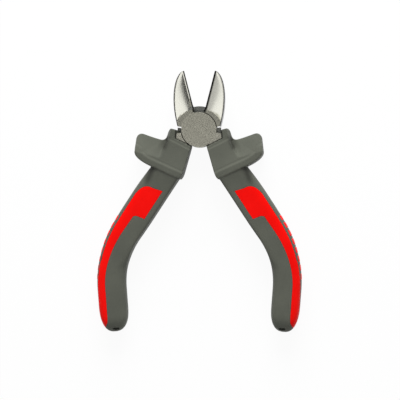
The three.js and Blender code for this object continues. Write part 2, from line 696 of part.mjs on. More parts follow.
function rearHalf() {
  const turnedOver = new THREE.Group();
  turnedOver.add(namedMesh("rear_half_forging", rearForging(), steel));
  addGrip(turnedOver, "left");
  turnedOver.rotation.y = Math.PI;
  const half = new THREE.Group();
  half.add(turnedOver);
  half.rotation.z = -degToRad(OPEN_HALF_ANGLE);
  return half;
}

const sideCutters = new THREE.Group();
sideCutters.add(frontHalf(), rearHalf());
sideCutters.position.z = -HALF_JOINT;

export default sideCutters;
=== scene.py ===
# Side cutters: the looks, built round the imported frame.
#
# Each piece is a field, negative inside, in millimetres, in the frame of one closed half: jaw on the -X
# side, handle on the +X side, middle plane at z = 0. The zero surface is meshed with its sharp edges kept,
# and the mesh is swung open into the shared frame. The rear half is the same half turned over about Y.

import math

import bpy
import numpy as np
from mathutils import Matrix, Vector


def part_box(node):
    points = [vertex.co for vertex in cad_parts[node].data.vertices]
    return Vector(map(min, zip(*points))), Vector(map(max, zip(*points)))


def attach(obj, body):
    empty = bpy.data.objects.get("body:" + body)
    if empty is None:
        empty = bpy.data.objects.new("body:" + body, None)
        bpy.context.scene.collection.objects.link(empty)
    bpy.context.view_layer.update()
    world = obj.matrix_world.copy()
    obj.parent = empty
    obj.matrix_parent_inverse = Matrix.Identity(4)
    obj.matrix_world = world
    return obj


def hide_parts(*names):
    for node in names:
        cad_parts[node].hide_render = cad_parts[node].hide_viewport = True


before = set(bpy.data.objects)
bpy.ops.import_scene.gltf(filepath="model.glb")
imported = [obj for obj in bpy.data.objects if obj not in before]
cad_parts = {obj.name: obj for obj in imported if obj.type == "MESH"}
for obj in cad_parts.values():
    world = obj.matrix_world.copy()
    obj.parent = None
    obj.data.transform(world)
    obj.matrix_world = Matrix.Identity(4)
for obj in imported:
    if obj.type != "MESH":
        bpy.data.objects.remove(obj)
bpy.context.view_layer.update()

# Sizes in millimetres and degrees, close to those of the solids

OPEN_HALF_ANGLE = 14.4

# Joint
JOINT_THICKNESS = 8
DISC_RADIUS = 7.35
LAP_GAP = 0.12
RIM_GAP = 0.3
SHOULDER_ANGLE = 24
OPEN_RESERVE = 3.2
STOP_REACH = 1.85
STOP_THICKNESS = 2
WEB_REACH = 2.65
WEB_LAP = 2.2
WEB_ROOT = 5
WEB_CLEARANCE = 3
WEB_THICKNESS = 2
RIVET_RADIUS = 2.6
RIVET_HEAD_RADIUS = 3.8
RIVET_HEAD_DEPTH = 1.2
RIVET_HEAD_LAND = 0.3
RIVET_CLEARANCE = 0.1
RIVET_END_WALL = 1.4
RIVET_END_CHAMFER = 0.3
RIVET_RIM = 0.12
RIVET_RING_INNER = 1.2
RIVET_RING_OUTER = 1.45
RIVET_RING_DEPTH = 0.05
RIVET_SIDES = 96
RIM_ROUND = 0.25
RECESS_LOW = 2.3
RECESS_HIGH = 2.6
RECESS_RADIUS = 10.3
RECESS_END = 10.7
SIDE_FADE = 1

# Jaw
JAW_REACH = 25.9
JAW_SHOULDER = 1.05
JAW_WIDEST = 4.5
JAW_FULLNESS = 1.87
JAW_BACK_ROOT = 7.4
JAW_BACK_TIP = 3
JAW_BACK_ROUND = 0.7
JAW_TIP_FLAT = 0.12
BACK_SKIN = 0.36
EDGE_DARK_REFLECTION_UPPER = 0.62
EDGE_DARK_REFLECTION_LOWER = 0.95
SKIN_AND_PAINTED_DARK_FADE = 0.12
GROUND_START = 0.1
GROUND_FULL = 0.3
EDGE_FLAT_WIDTH = 3
EDGE_FLAT_RUN = 8
EDGE_FLAT_FADE = 0.3
NECK_SHADOW_LINE = 0.4
EDGE_CLEARANCE = 0.09
EDGE_LAND = 0.1
EDGE_BEVEL_WIDTH = 0.85
EDGE_BEVEL_THICKNESS = 1.6
GRIND_SHOULDER = 2.3
GRIND_FRONT_RADIUS = 8.8
GRIND_FRONT_OFFSET = 1.1
GRIND_FRONT_RUNOUT = 0.5
GRIND_HOLLOW = 1.35
GRIND_RUNOUT = 1.6
ROOT_BLEND = 0.6

# Neck and tang
NECK_SHOULDER = 2.5
NECK_WAIST = 1.35
NECK_DEPTH = 11.5
NECK_TURN = 1
TANG_LENGTH = 56
TANG_WIDTH_TOP = 6
TANG_WIDTH_END = 4.4
TANG_THICKNESS = 5.2
FIT_GAP = 0.25
JOIN_DEPTH = 1
JOIN_ANGLE = 2

# Grip
SPINE_START_X = 5.4
SPINE_START_Y = -8
SPINE_SPLAY = 18.8
SPINE_UPPER_RUN = 42.3
SPINE_BEND_RADIUS = 39.8
SPINE_BEND_ANGLE = 37.5
SPINE_LOWER_RUN = 18.1
GRIP_TOP = 9
GRIP_WIDTH_TOP = 13.2
GRIP_SHOULDER = 0.5
GRIP_SHOULDER_START = 13
GRIP_SHOULDER_END = 27
GRIP_WIDTH_WAIST = 12
GRIP_WAIST_START = 33
GRIP_WAIST_END = 57
GRIP_THICKNESS = 11
GRIP_SWELL = 0.95
GRIP_SWELL_RISE = 10
GRIP_SWELL_START = 12.9
GRIP_SWELL_RUN = 11
FLUTE_DEPTH = 0.3
FLUTE_WIDTH = 1.4
FLUTE_TOP = 15
FLUTE_OUT = 4.8
FLUTE_LEAN = 0.2
FLUTE_FADE = 19
FLUTE_END = 24
GRIP_SQUARENESS = 4.2
INNER_SQUARENESS = 14
PALM_SQUARENESS = 3.2
PALM_START = 46
PALM_END = 60
END_ROUND_OUTER = 12
END_ROUND_INNER = 10
END_ROUND_FACE = 7
END_SQUARENESS = 2.45
END_SLOT_WIDTH = 2.7
END_SLOT_HEIGHT = 0.8
END_SLOT_INSET = 1.25
END_SLOT_OUT = -0.75
END_SLOT_FLOOR = 4

# Collar and finger guard
COLLAR_INNER = 1.25
COLLAR_INNER_LEAN = 0.04
COLLAR_DRAFT = 0.02
COLLAR_INNER_ROUND = 0.6
COLLAR_WALL = 1.5
COLLAR_LIP_GAP = 0.45
COLLAR_NECK_GAP = 0.1
COLLAR_LIP_TILT = 12.5
GUARD_THICKNESS = 13.4
COLLAR_ROUND = 0.55
COLLAR_FILLET = 0.5
GUARD_LAND = 2.4
RIDGE_FOOT = 3.6
RIDGE_DROP = 0.55
SLEEVE_START = 4
SLEEVE_RUN = 11
SLEEVE_DROP = 1.15
LIP_BAND = 1.1
LIP_STEP = 0.7
LIP_DROP = 0.3
EAR_TOP = -2.4
EAR_WIDTH = 2.95
EAR_ROUND = 2.4
VALLEY_WIDTH = 2.3
VALLEY_Y = -7.9
WING_REACH = 24.6
WING_TOP = -7.4
WING_LOW = -18.3
WING_ROUND_TOP = 2.5
WING_ROUND_LOW = 2.8
WING_SLANT = 0.9
WING_LOW_INSET = 1.35
WING_HOLLOW = 2.9
WING_STEP_X = 11.7
WING_STEP_LEAN = 0.19
WING_STEP_WIDTH = 1.2
WING_GROOVE = 0.9
WING_GROOVE_WIDTH = 3
WING_HOLLOW_LOW = -15.5
SHADE_TOP = (11.8, -6.8)
SHADE_END = (12.2, -10.6)
SHADE_WIDTH = 1.1
SHADE_LOW = 0.8
SHADE_HIGH = 1.8
GUARD_OUTER_X = 15.9
GUARD_OUTER_Y = -19.8
GUARD_INNER_X = 2.7
GUARD_INNER_Y = -22.1
GUARD_DEPTH = 2.4
GUARD_ROUND = 2
BEAD_HALF = 1.4
BEAD_GAP = 0.05
BEAD_RISE = 0.75
BEAD_LAP = 1
BEAD_DEPTH = 2

# Red inlay and ribs
INLAY_DEPTH = 1.2
SEAM_GAP = 0.06
SEAM_ROUND = 0.12
PATCH_TOP = 20.5
PATCH_LENGTH = 13.9
PATCH_INNER = 4
PATCH_LEAN = 1.2
PATCH_SLANT = 0.8
PATCH_ROUND = 9
NOTCH_CHAMFER = 0.9
STRIP_INNER = 0.6
STRIP_LEAD = 4
STRIP_WIDTH_LOW = 3.6
STRIP_END_INSET = 2.05
STRIP_TIP_LENGTH = 2.6
STRIP_TIP_RISE = 1.3
STRIP_LOW_INSET = 19.45
STRIP_STEPS = 24
PANEL_HEIGHT = 10
PANEL_TAPER = 35
PANEL_END_INSET = 6.45
RIB_COUNT = 8
RIB_PITCH = 3.3
RIB_TOP = 40.4
RIB_LENGTH = 2.3
RIB_MARGIN = 0.85
RIB_DEPTH = 1.8
RIB_PROUD = 0.1
RIB_ROUND = 0.35

# Mesh cells, and the low and high corners of the rooms that are searched for each surface
COARSE = 1
GRIP_CELL = 0.42 * COARSE
GRIP_ROOM = ((0.3, -93.1, -7.4), (35, -1.2, 7.6))
INLAY_CELL = 0.36 * COARSE
INLAY_ROOM = ((8, -93, -6.3), (35, -24, 6.3))
RIB_CELL = 0.2 * COARSE
RIB_ROOM = ((-4.1, -3.1, -5.1), (3.1, 3.1, 5.1))
STEEL_CELL = 0.25 * COARSE
STEEL_ROOM = ((-9.6, -65.1, -4.37), (28, 26.1, 4.4))
BLOCK = 6
HALVINGS = 12
CURVE_STEPS = 10
NORMAL_STEP = 0.02
SLOPE_STEP = 0.05
FACE_STEEPNESS = 1.1
CORNER_DAMPING = 0.03
SHARP_ANGLE = 32
TINY = 1e-6
MILLIMETRE = 0.001

HALF_JOINT = JOINT_THICKNESS / 2
HALF_LAP = LAP_GAP / 2
LAP_RADIUS = DISC_RADIUS + RIM_GAP
JOIN_RADIUS = DISC_RADIUS - JOIN_DEPTH
STOP_RADIUS = DISC_RADIUS + STOP_REACH
STOP_ANGLE = 2 * OPEN_HALF_ANGLE + OPEN_RESERVE - SHOULDER_ANGLE
WEB_RADIUS = DISC_RADIUS + WEB_REACH
WEB_ANGLE = 2 * OPEN_HALF_ANGLE + WEB_LAP
JAW_WIDTH = DISC_RADIUS + JAW_SHOULDER
GRIND_RADIUS = DISC_RADIUS + GRIND_SHOULDER
NECK_OUTER = DISC_RADIUS + NECK_WAIST
NECK_END = NECK_DEPTH + SPINE_START_Y
EAR_INNER = STOP_RADIUS + FIT_GAP
EAR_OUTER = EAR_INNER + EAR_WIDTH
VALLEY_X = EAR_OUTER + VALLEY_WIDTH
BEND_LENGTH = SPINE_BEND_RADIUS * math.radians(SPINE_BEND_ANGLE)
SPINE_LENGTH = SPINE_UPPER_RUN + BEND_LENGTH + SPINE_LOWER_RUN
PATCH_BOTTOM = PATCH_TOP + PATCH_LENGTH
STRIP_END = SPINE_LENGTH - STRIP_END_INSET
STRIP_LOW = SPINE_LENGTH - STRIP_LOW_INSET
PANEL_END = SPINE_LENGTH - PANEL_END_INSET


def smoothstep(value, low, high):
    share = np.clip((value - low) / (high - low), 0, 1)
    return share * share * (3 - 2 * share)


def lerp(low, high, share):
    return low + (high - low) * share


def join(first, second, fillet):
    """Both fields together, with a fillet where they meet."""
    share = np.clip(0.5 + 0.5 * (second - first) / fillet, 0, 1)
    return lerp(second, first, share) - fillet * share * (1 - share)


def common(first, second, edge):
    """What lies in both fields, with a rounded edge where they meet."""
    return -join(-first, -second, edge)


def deepest(*fields):
    """What lies in all of the fields, with sharp edges."""
    return np.maximum.reduce(np.broadcast_arrays(*fields))


def nearest(*fields):
    """All of the fields together, with sharp corners."""
    return np.minimum.reduce(np.broadcast_arrays(*fields))


# Meshing


def neighbour_cells(axis):
    """Steps from a lattice edge to the four cells round it, counter-clockwise about the axis."""
    across = np.eye(3, dtype=int)[(axis + 1) % 3]
    up = np.eye(3, dtype=int)[(axis + 2) % 3]
    return np.array([0 * across, -across, -across - up, -up])


def grid_of(steps):
    return np.stack(np.meshgrid(*steps, indexing="ij"), -1)


def gradient(field, points, step):
    """Unit normals of the field at some points."""
    normals = np.empty_like(points)
    for axis in range(3):
        shift = np.eye(3)[axis] * step
        normals[:, axis] = field(*(points + shift).T) - field(*(points - shift).T)
    return normals / np.maximum(np.linalg.norm(normals, axis=1, keepdims=True), TINY)


def crossings(field, low, cell, blocks):
    """Lattice edges that pass through the surface: lower points, axes and whether they leave the inside."""
    starts = grid_of([np.arange(count) for count in blocks]).reshape(-1, 3) * BLOCK
    probe = grid_of([np.array([0, BLOCK / 2, BLOCK])] * 3).reshape(-1, 3)
    samples = field(*(low + (starts[:, None] + probe) * cell).reshape(-1, 3).T)
    starts = starts[np.abs(samples.reshape(len(starts), -1)).min(1) < BLOCK * cell]
    lattice = starts[:, None, None, None] + grid_of([np.arange(BLOCK + 1)] * 3)
    inside = field(*(low + lattice * cell).reshape(-1, 3).T).reshape(lattice.shape[:-1]) < 0
    points, axes, leaving = [], [], []
    here = inside[:, :-1, :-1, :-1]
    for axis in range(3):
        ahead = [slice(None)] + [slice(1, None) if other == axis else slice(0, -1) for other in range(3)]
        found = np.argwhere(here != inside[tuple(ahead)])
        points.append(starts[found[:, 0]] + found[:, 1:])
        axes.append(np.full(len(found), axis))
        leaving.append(here[tuple(found.T)])
    return np.concatenate(points), np.concatenate(axes), np.concatenate(leaving)


def surface_points(field, low, cell, points, axes, leaving):
    """Where each crossing edge meets the surface, by halving."""
    start = low + points * cell
    along = np.eye(3)[axes] * cell
    near, far = np.zeros(len(points)), np.ones(len(points))
    for _ in range(HALVINGS):
        middle = (near + far) / 2
        before = (field(*(start + along * middle[:, None]).T) < 0) == leaving
        near = np.where(before, middle, near)
        far = np.where(before, far, middle)
    return start + along * ((near + far) / 2)[:, None]


def sharp_corners(places, normals, corner, count):
    """For each cell the point nearest to the planes at its crossings, which keeps edges sharp."""

    def gather(values):
        return np.bincount(corner.ravel(), np.repeat(values, 4), count)

    weight = gather(np.ones(len(places)))
    middle = np.stack([gather(places[:, axis]) for axis in range(3)], -1) / weight[:, None]
    square = np.empty((count, 3, 3))
    for row in range(3):
        for column in range(3):
            square[:, row, column] = gather(normals[:, row] * normals[:, column])
    level = (normals * places).sum(1)
    right = np.stack([gather(normals[:, axis] * level) for axis in range(3)], -1)
    right -= (square @ middle[:, :, None])[:, :, 0]
    square += np.eye(3) * CORNER_DAMPING * weight[:, None, None]
    return middle + np.linalg.solve(square, right[:, :, None])[:, :, 0]


def contour(field, low, high, cell):
    """Vertices and four-sided faces of the field's zero surface, one vertex in each cell that it passes."""
    low = np.array(low, float)
    blocks = np.ceil((np.array(high) - low) / (cell * BLOCK)).astype(int)
    points, axes, leaving = crossings(field, low, cell, blocks)
    places = surface_points(field, low, cell, points, axes, leaving)
    normals = gradient(field, places, cell * NORMAL_STEP)
    cells = points[:, None] + np.array([neighbour_cells(axis) for axis in range(3)])[axes]
    cells[~leaving] = cells[~leaving][:, ::-1]
    span = blocks * BLOCK + 2
    keys = (cells[..., 0] * span[1] + cells[..., 1]) * span[2] + cells[..., 2]
    _, first, corner = np.unique(keys, return_index=True, return_inverse=True)
    corner = corner.reshape(keys.shape)
    vertices = sharp_corners(places, normals, corner, len(first))
    floor = low + cells.reshape(-1, 3)[first] * cell
    return np.clip(vertices, floor, floor + cell), corner


# Shapes in plan


def quadratic(start, control, end):
    """Points on a quadratic curve, without its start."""
    share = (np.arange(CURVE_STEPS) + 1)[:, None] / CURVE_STEPS
    start, control, end = (np.array(point, float) for point in (start, control, end))
    return list((1 - share) ** 2 * start + 2 * share * (1 - share) * control + share**2 * end)


def line_distance(x, y, start, end):
    """Squared distance to a straight stretch."""
    run_x, run_y = end[0] - start[0], end[1] - start[1]
    share = np.clip(((x - start[0]) * run_x + (y - start[1]) * run_y) / (run_x**2 + run_y**2), 0, 1)
    return (x - start[0] - run_x * share) ** 2 + (y - start[1] - run_y * share) ** 2


def outline_distance(x, y, outline):
    """Signed distance to a closed outline, negative inside."""
    closest = np.full(np.shape(x), np.inf)
    inside = np.zeros(np.shape(x), bool)
    for start, end in zip(outline, outline[1:] + outline[:1]):
        closest = np.minimum(closest, line_distance(x, y, start, end))
        if start[1] != end[1]:
            level = start[0] + (end[0] - start[0]) * (y - start[1]) / (end[1] - start[1])
            inside ^= ((start[1] > y) != (end[1] > y)) & (x < level)
    return np.where(inside, -1, 1) * np.sqrt(closest)


def path_distance(x, y, path):
    """Distance to an open path."""
    return np.sqrt(nearest(*(line_distance(x, y, start, end) for start, end in zip(path, path[1:]))))


def lip_y(across):
    """Plan height of the collar's tilted lip, at a distance from the middle line."""
    tilt = math.radians(COLLAR_LIP_TILT)
    return (across * math.sin(tilt) - DISC_RADIUS - COLLAR_LIP_GAP) / math.cos(tilt)


def polar(radius, degrees):
    return (radius * math.cos(math.radians(degrees)), radius * math.sin(math.radians(degrees)))


def beside_spine(along, out):
    """Plan point at a distance along the spine and out from it."""
    bent = min(max((along - SPINE_UPPER_RUN) / SPINE_BEND_RADIUS, 0), math.radians(SPINE_BEND_ANGLE))
    splay = math.radians(SPINE_SPLAY)
    angle = splay - bent
    straight = min(along, SPINE_UPPER_RUN)
    after = max(0, along - SPINE_UPPER_RUN - BEND_LENGTH)
    x = SPINE_START_X + math.sin(splay) * straight - math.cos(splay) * SPINE_BEND_RADIUS
    y = SPINE_START_Y - math.cos(splay) * straight - math.sin(splay) * SPINE_BEND_RADIUS
    x += math.cos(angle) * (SPINE_BEND_RADIUS + out) + math.sin(angle) * after
    y += math.sin(angle) * (SPINE_BEND_RADIUS + out) - math.cos(angle) * after
    return (x, y)


def spine_place(x, y):
    """Distance along the grip's spine and out from it, for points in plan."""
    splay = math.radians(SPINE_SPLAY)
    end = splay - math.radians(SPINE_BEND_ANGLE)
    upper_along = (x - SPINE_START_X) * math.sin(splay) - (y - SPINE_START_Y) * math.cos(splay)
    upper_out = (x - SPINE_START_X) * math.cos(splay) + (y - SPINE_START_Y) * math.sin(splay)
    bend_x, bend_y = beside_spine(SPINE_UPPER_RUN, -SPINE_BEND_RADIUS)
    bend_along = SPINE_UPPER_RUN + (splay - np.arctan2(y - bend_y, x - bend_x)) * SPINE_BEND_RADIUS
    bend_out = np.hypot(x - bend_x, y - bend_y) - SPINE_BEND_RADIUS
    low_x, low_y = beside_spine(SPINE_UPPER_RUN + BEND_LENGTH, 0)
    low_along = (x - low_x) * math.sin(end) - (y - low_y) * math.cos(end)
    low_out = (x - low_x) * math.cos(end) + (y - low_y) * math.sin(end)
    on_bend = upper_along > SPINE_UPPER_RUN
    on_low = on_bend & (low_along > 0)
    along = np.where(on_bend, bend_along, upper_along)
    out = np.where(on_bend, bend_out, upper_out)
    along = np.where(on_low, SPINE_UPPER_RUN + BEND_LENGTH + low_along, along)
    return along, np.where(on_low, low_out, out)


def neck_outer_side():
    """Outer side of the neck in plan, from the tang up to the shoulder."""
    return [
        beside_spine(NECK_END, TANG_WIDTH_TOP / 2),
        (NECK_OUTER, lip_y(NECK_OUTER)),
        polar(DISC_RADIUS + NECK_SHOULDER, -SHOULDER_ANGLE),
    ]


def neck_outline():
    inner = COLLAR_INNER + COLLAR_WALL
    inner_end = beside_spine(NECK_END, -TANG_WIDTH_TOP / 2)
    return [
        polar(JOIN_RADIUS, -SHOULDER_ANGLE),
        (inner, -math.sqrt(JOIN_RADIUS**2 - inner**2)),
        (inner, inner_end[1] + NECK_TURN),
        inner_end,
        *neck_outer_side(),
    ]


def guard_path():
    """Lower edge of the collar, from the middle line to the wing's end."""
    wing_end = (WING_REACH - WING_SLANT, WING_LOW + WING_ROUND_LOW)
    path = [(GUARD_INNER_X, GUARD_INNER_Y), (GUARD_OUTER_X, GUARD_OUTER_Y)]
    return path + quadratic(path[-1], (WING_REACH - WING_LOW_INSET, WING_LOW), wing_end)


def collar_outline():
    wing_top = (WING_REACH - WING_ROUND_TOP, WING_TOP)
    wing_side = (WING_REACH, WING_TOP - WING_ROUND_TOP)
    valley = (VALLEY_X, VALLEY_Y)
    ear_side = (EAR_OUTER, EAR_TOP - EAR_ROUND)
    ear_top = (EAR_OUTER - EAR_ROUND / 2, EAR_TOP)
    guard_low = GUARD_INNER_Y + GUARD_DEPTH
    inner_low = (COLLAR_INNER, guard_low + GUARD_ROUND)
    lower_edge = guard_path()
    outline = [(COLLAR_INNER, lip_y(COLLAR_INNER)), inner_low]
    outline += quadratic(inner_low, (COLLAR_INNER, guard_low), lower_edge[0])
    outline += lower_edge[1:]
    outline += [wing_side]
    outline += quadratic(wing_side, (WING_REACH, WING_TOP), wing_top)
    outline += quadratic(wing_top, ((WING_REACH + VALLEY_X) / 2 - EAR_ROUND, VALLEY_Y), valley)
    outline += quadratic(valley, (EAR_OUTER, VALLEY_Y), ear_side)
    outline += quadratic(ear_side, (EAR_OUTER, EAR_TOP), ear_top)
    return outline + [(EAR_INNER, EAR_TOP), (NECK_OUTER, lip_y(NECK_OUTER))]


# Grip


def end_round(along, length):
    """Share of the handle's width or height that is left where its end is rounded."""
    into = np.clip((along - (SPINE_LENGTH - length)) / length, 0, 1)
    return (1 - into**END_SQUARENESS) ** (1 / END_SQUARENESS)


def grip_half_width(along):
    return lerp(GRIP_WIDTH_TOP, GRIP_WIDTH_WAIST, smoothstep(along, GRIP_WAIST_START, GRIP_WAIST_END)) / 2


def grip_outer(along):
    """How far out from the spine the handle's outer side lies."""
    shoulder = GRIP_SHOULDER * (1 - smoothstep(along, GRIP_SHOULDER_START, GRIP_SHOULDER_END))
    return (grip_half_width(along) - shoulder) * end_round(along, END_ROUND_OUTER)


def flute(along, out):
    """Share of the shallow flute beside the outer edge, from the guard down to the red patch."""
    across = (out - FLUTE_OUT + FLUTE_LEAN * (along - FLUTE_TOP)) / FLUTE_WIDTH
    return np.exp(-(across**2)) * (1 - smoothstep(along, FLUTE_FADE, FLUTE_END))


def handle(along, out, z):
    """The handle of the grip: rounded sections along the spine, softer on the palm's side near the end."""
    inner = grip_half_width(along) * end_round(along, END_ROUND_INNER)
    width = np.maximum(np.where(out > 0, grip_outer(along), inner), TINY)
    swell = GRIP_SWELL * (1 - np.clip((along - GRIP_SWELL_START) / GRIP_SWELL_RUN, 0, 1)) ** 2
    swell = swell * smoothstep(along, GRIP_SWELL_RISE, GRIP_SWELL_START)
    height = np.maximum((GRIP_THICKNESS / 2 + swell) * end_round(along, END_ROUND_FACE), TINY)
    palm = lerp(INNER_SQUARENESS, PALM_SQUARENESS, smoothstep(along, PALM_START, PALM_END))
    power = np.where(out > 0, GRIP_SQUARENESS, palm)
    share = ((np.abs(out) / width) ** power + (np.abs(z) / height) ** power) ** (1 / power)
    reach = np.where(share > TINY, np.hypot(out, z) / np.maximum(share, TINY), height)
    side = (share - 1) * reach + FLUTE_DEPTH * flute(along, out)
    return deepest(side, along - SPINE_LENGTH, GRIP_TOP - along)


def collar_height(x, y):
    """Height of the collar's faces over the middle plane: land, ridge, sleeve, lip and hollow wing."""
    from_guard = path_distance(x, y, guard_path())
    ridge = smoothstep(from_guard, GUARD_LAND, RIDGE_FOOT)
    up_sleeve = np.clip((from_guard - SLEEVE_START) / SLEEVE_RUN, 0, 1)
    sleeve = up_sleeve * (2 - up_sleeve)
    below_lip = (lip_y(x) - y) * math.cos(math.radians(COLLAR_LIP_TILT))
    lip = 1 - smoothstep(below_lip, LIP_BAND, LIP_BAND + LIP_STEP)
    up_wing = np.clip((y - WING_HOLLOW_LOW) / (VALLEY_Y - WING_HOLLOW_LOW), 0, 1)
    past_step = x - WING_STEP_X - WING_STEP_LEAN * np.maximum(VALLEY_Y - y, 0)
    hollow = smoothstep(past_step, -WING_STEP_WIDTH / 2, WING_STEP_WIDTH / 2) * up_wing
    groove = 1 - smoothstep(past_step, WING_STEP_WIDTH / 2, WING_GROOVE_WIDTH)
    groove = groove * (1 - smoothstep(y, VALLEY_Y, VALLEY_Y + EAR_ROUND))
    wing = (WING_HOLLOW + WING_GROOVE * groove) * hollow
    fall = RIDGE_DROP * ridge + SLEEVE_DROP * sleeve + LIP_DROP * lip + wing
    return GUARD_THICKNESS / 2 - fall


def collar(x, y, z):
    """The collar with its ear, wing and finger guard."""
    plan = outline_distance(x, y, collar_outline())
    inner_side = COLLAR_INNER + COLLAR_INNER_LEAN * (VALLEY_Y - y) + COLLAR_DRAFT * np.abs(z) - x
    faces = common(plan, np.abs(z) - collar_height(x, y), COLLAR_ROUND)
    return common(faces, inner_side, COLLAR_INNER_ROUND)


def bead(x, y, z):
    """Low bead along the lip and inside the ear, which closes the slits at the disc and the neck."""
    foot = lip_y(x) - BEAD_DEPTH - y
    ear = deepest(x - EAR_OUTER + EAR_ROUND / 2, NECK_OUTER - BEAD_LAP - x, y - EAR_TOP, foot)
    lip = deepest(COLLAR_INNER - x, x - NECK_OUTER, y - lip_y(x) - BEAD_RISE, foot)
    lip = deepest(lip, DISC_RADIUS + BEAD_GAP - np.hypot(x, y))
    return deepest(nearest(ear, lip), np.abs(z) - BEAD_HALF)


def panel_half(along):
    """Half the height of the grey panel on the grip's outer side: it tapers to its end like a leaf."""
    into = np.clip((along - PANEL_END) / PANEL_TAPER + 1, 0, 1)
    return PANEL_HEIGHT / 2 * np.sqrt(1 - into**2)


def panel_edge(along):
    """How far out from the spine the panel's edge shows on the handle's face."""
    share = panel_half(along) / (GRIP_THICKNESS / 2)
    return grip_half_width(along) * (1 - share**GRIP_SQUARENESS) ** (1 / GRIP_SQUARENESS)


def strip_inner(along):
    """Inner edge of the red strip, out from the spine."""
    top = grip_half_width(PATCH_BOTTOM) - STRIP_INNER
    narrowing = smoothstep(along, PATCH_BOTTOM, STRIP_LOW)
    closing = STRIP_TIP_RISE * smoothstep(along, STRIP_END - STRIP_TIP_LENGTH, STRIP_END)
    return grip_half_width(along) - lerp(top, STRIP_WIDTH_LOW, narrowing) + closing


def inlay_outline():
    """Outline of the red inlay, as distances along the spine and out from it."""
    top_edge = PATCH_TOP + PATCH_LEAN
    shoulder = PATCH_TOP + PATCH_ROUND
    side = panel_edge(shoulder)
    outline = [(PATCH_TOP, -PATCH_INNER), (top_edge, 0)]
    outline += quadratic((top_edge, 0), (top_edge, side), (shoulder, side))
    outline += [(shoulder, GRIP_WIDTH_TOP), (STRIP_END, GRIP_WIDTH_TOP)]
    for along in np.linspace(STRIP_END, PATCH_BOTTOM + STRIP_LEAD, STRIP_STEPS):
        outline.append((along, float(strip_inner(along))))
    notch = PATCH_BOTTOM + PATCH_SLANT
    outline += [(notch + NOTCH_CHAMFER, STRIP_INNER), (notch, STRIP_INNER - NOTCH_CHAMFER)]
    return outline + [(PATCH_BOTTOM, -PATCH_INNER)]


def inlay_room(along, out, z, gap):
    """Everything over the inlay's floor, in its outline and past the side panel's walls at 45 degrees."""
    plan = outline_distance(along, out, inlay_outline()) - gap
    floor = -handle(along, out, z) - INLAY_DEPTH - gap
    panel = (out - panel_edge(along) + panel_half(along) - np.abs(z)) * math.sqrt(0.5)
    return deepest(plan, panel - gap, floor)


def inlay(x, y, z):
    along, out = spine_place(x, y)
    return common(inlay_room(along, out, z, 0), handle(along, out, z), SEAM_ROUND)


def rib_room(along, out, z, index, gap):
    """A rounded bar across the grip's outer side."""
    middle = RIB_TOP + index * RIB_PITCH
    length = np.abs(along - middle) - RIB_LENGTH / 2 - gap
    height = np.abs(z) - (panel_half(np.float64(middle)) - RIB_MARGIN) - gap
    depth = grip_outer(np.float64(middle)) - RIB_DEPTH - gap - out
    return deepest(common(length, height, RIB_ROUND + gap), depth)


def rib(index):
    """Field of one rib, slightly proud of the handle."""

    def field(x, y, z):
        along, out = spine_place(x, y)
        return common(rib_room(along, out, z, index, 0), handle(along, out, z) - RIB_PROUD, RIB_ROUND)

    return field


def end_slot(along, out, z):
    """Small slot with round ends, in both faces near the handle's end."""
    middle = SPINE_LENGTH - END_SLOT_INSET
    past_straight = np.maximum(np.abs(out - END_SLOT_OUT) - (END_SLOT_WIDTH - END_SLOT_HEIGHT) / 2, 0)
    plan = np.hypot(past_straight, along - middle) - END_SLOT_HEIGHT / 2
    return np.maximum(plan, END_SLOT_FLOOR / 2 - np.abs(z))


def tang(along, out, z, gap):
    """The tapered tang inside the grip, or its room with a gap round it."""
    share = np.clip(along / TANG_LENGTH, 0, 1)
    width = lerp(TANG_WIDTH_TOP, TANG_WIDTH_END, share) / 2
    return deepest(
        np.abs(out) - width - gap, np.abs(z) - TANG_THICKNESS / 2 - gap, along - TANG_LENGTH - gap, -along,
    )


def neck(x, y, z, gap):
    return deepest(outline_distance(x, y, neck_outline()) - gap, np.abs(z) - HALF_JOINT - gap)


def grip_body(x, y, z):
    """The grey moulding: handle, collar and guard, with its pockets and the room for the tang."""
    along, out = spine_place(x, y)
    shape = join(handle(along, out, z), collar(x, y, z), COLLAR_FILLET)
    shape = deepest(shape, -neck(x, y, z, COLLAR_NECK_GAP))
    shape = nearest(shape, deepest(bead(x, y, z), -neck(x, y, z, BEAD_GAP), -stop(x, y, z, BEAD_GAP)))
    rooms = [tang(along, out, z, FIT_GAP), end_slot(along, out, z)]
    rooms += [rib_room(along, out, z, index, SEAM_GAP) for index in range(RIB_COUNT)]
    shape = common(shape, -inlay_room(along, out, z, SEAM_GAP), SEAM_ROUND)
    return deepest(shape, -nearest(*rooms))


# Steel


def sector(x, y, z, inner, outer, start, end, low, high):
    """A ring segment round the pivot, from one angle to another."""
    radius = np.hypot(x, y)
    start_x, start_y = polar(1, start)
    end_x, end_y = polar(1, end)
    after_start = start_y * x - start_x * y
    before_end = end_x * y - end_y * x
    return deepest(radius - outer, inner - radius, after_start, before_end, low - z, z - high)


def jaw_back(past):
    """How far the jaw's back lies from its cutting edge."""
    share = np.clip((past - JAW_WIDEST) / (JAW_REACH - JAW_WIDEST), 0, 1)
    return JAW_WIDTH * (1 - share**2) ** (1 / JAW_FULLNESS)


def root_height(from_edge, past, front):
    """Height of the unground root, which slopes down to the ground faces, sooner at the front."""
    front_reach = (np.hypot(from_edge - GRIND_FRONT_OFFSET, past) - GRIND_FRONT_RADIUS) / GRIND_FRONT_RUNOUT
    rear_reach = (np.hypot(from_edge, past) - GRIND_RADIUS) / GRIND_RUNOUT
    return HALF_JOINT * (1 - np.maximum(np.where(front, front_reach, rear_reach), 0))


